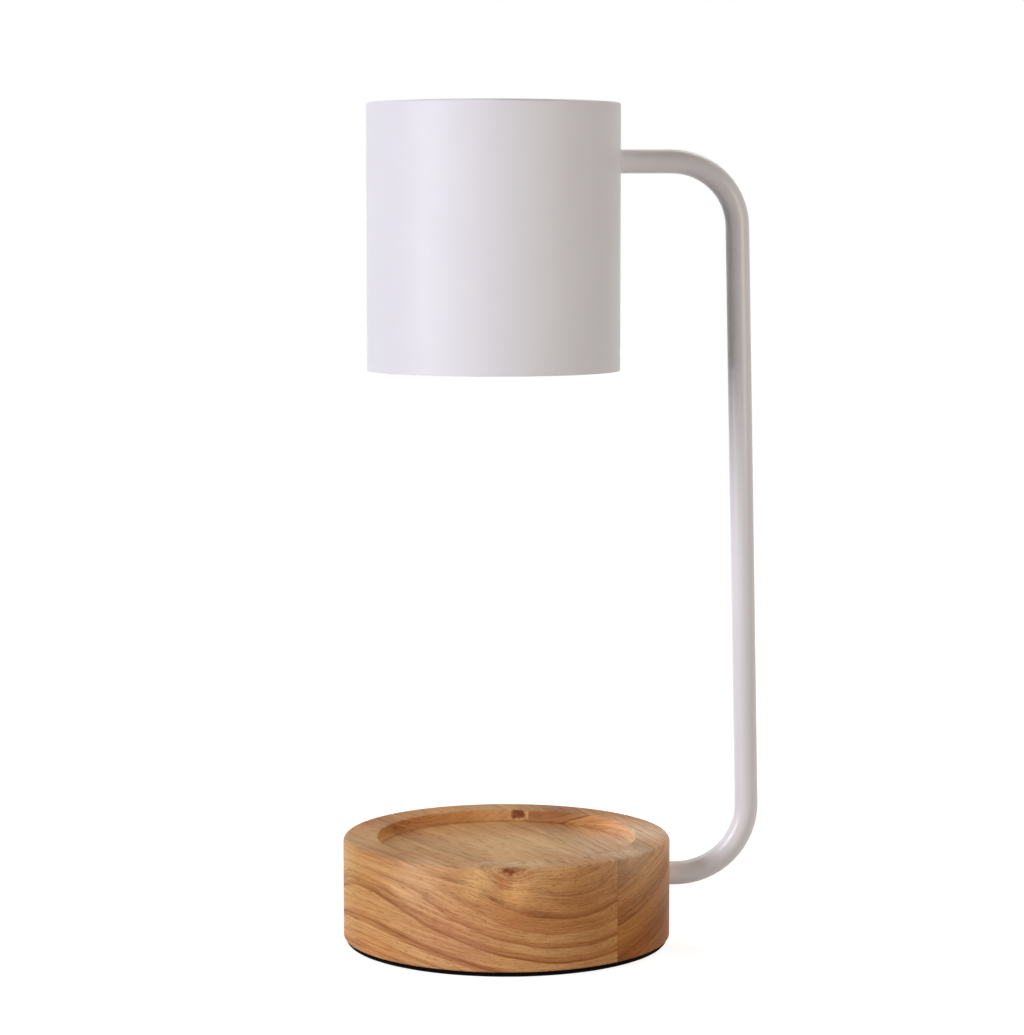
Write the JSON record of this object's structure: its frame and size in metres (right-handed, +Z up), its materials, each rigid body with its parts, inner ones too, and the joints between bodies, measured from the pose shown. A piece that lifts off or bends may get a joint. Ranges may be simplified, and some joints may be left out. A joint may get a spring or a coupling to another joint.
{
  "type": "candle warmer lamp",
  "caption": "Candle warmer lamp: a turned wood base with a recessed jar seat, a bent steel tube arm and a white cylindrical metal shade over a twist-lock reflector bulb.",
  "frame": {"origin": "centre of the round base's underside, on the surface that the lamp stands on", "axes": "+Z up, along the lamp's height; +X from the base's centre to the arm's post; -Y is the front, and the cord's inlet faces +Y"},
  "size_m": [0.1778, 0.14, 0.3565],
  "materials": {
    "wood": "satin lacquer over edge-glued hardwood",
    "foot_pad": "matte foam rubber",
    "weight_steel": "blackened plate",
    "zinc_steel": "zinc plated",
    "grommet_rubber": "matte",
    "arm_paint": "satin white powder coat",
    "shade_paint": "satin white powder coat",
    "nylon": "moulded",
    "brass": "plain",
    "live_insulation": "smooth",
    "neutral_insulation": "smooth",
    "ceramic": "unglazed",
    "reflector": "aluminised glass",
    "clear_glass": "clear",
    "tungsten": "drawn wire"
  },
  "bodies": {
    "lamp": {"base_body": "wood", "foot_pad": "foot_pad", "counterweight": "weight_steel", "counterweight_screws": "zinc_steel", "cord_grommet": "grommet_rubber", "arm_tube": "arm_paint", "base_nipple": "zinc_steel", "shade_nipple": "zinc_steel", "nipple_nuts": "zinc_steel", "nipple_lock_washers": "zinc_steel", "wire_bushings": "nylon", "terminal_block": "nylon", "terminal_sleeves": "brass", "terminal_screws": "zinc_steel", "terminal_fixing_screw": "zinc_steel", "live_wire": "live_insulation", "neutral_wire": "neutral_insulation", "shade_shell": "shade_paint", "shade_saddle_washer": "nylon", "holder_bracket": "zinc_steel", "holder_screws": "zinc_steel", "holder_body": "ceramic", "holder_cap": "ceramic", "holder_contacts": "brass"},
    "bulb": {"bulb_reflector": "reflector", "bulb_front_glass": "clear_glass", "bulb_neck": "ceramic", "bulb_pins": "brass", "bulb_capsule": "clear_glass", "bulb_filament": "tungsten"}
  },
  "joints": [
    {"name": "bulb_twist", "type": "hinge", "parent": "lamp", "child": "bulb", "pos_m": [-0.0054, 0, 0.3033], "axis": [0, 0, -1], "range_deg": [0, 30]}
  ]
}
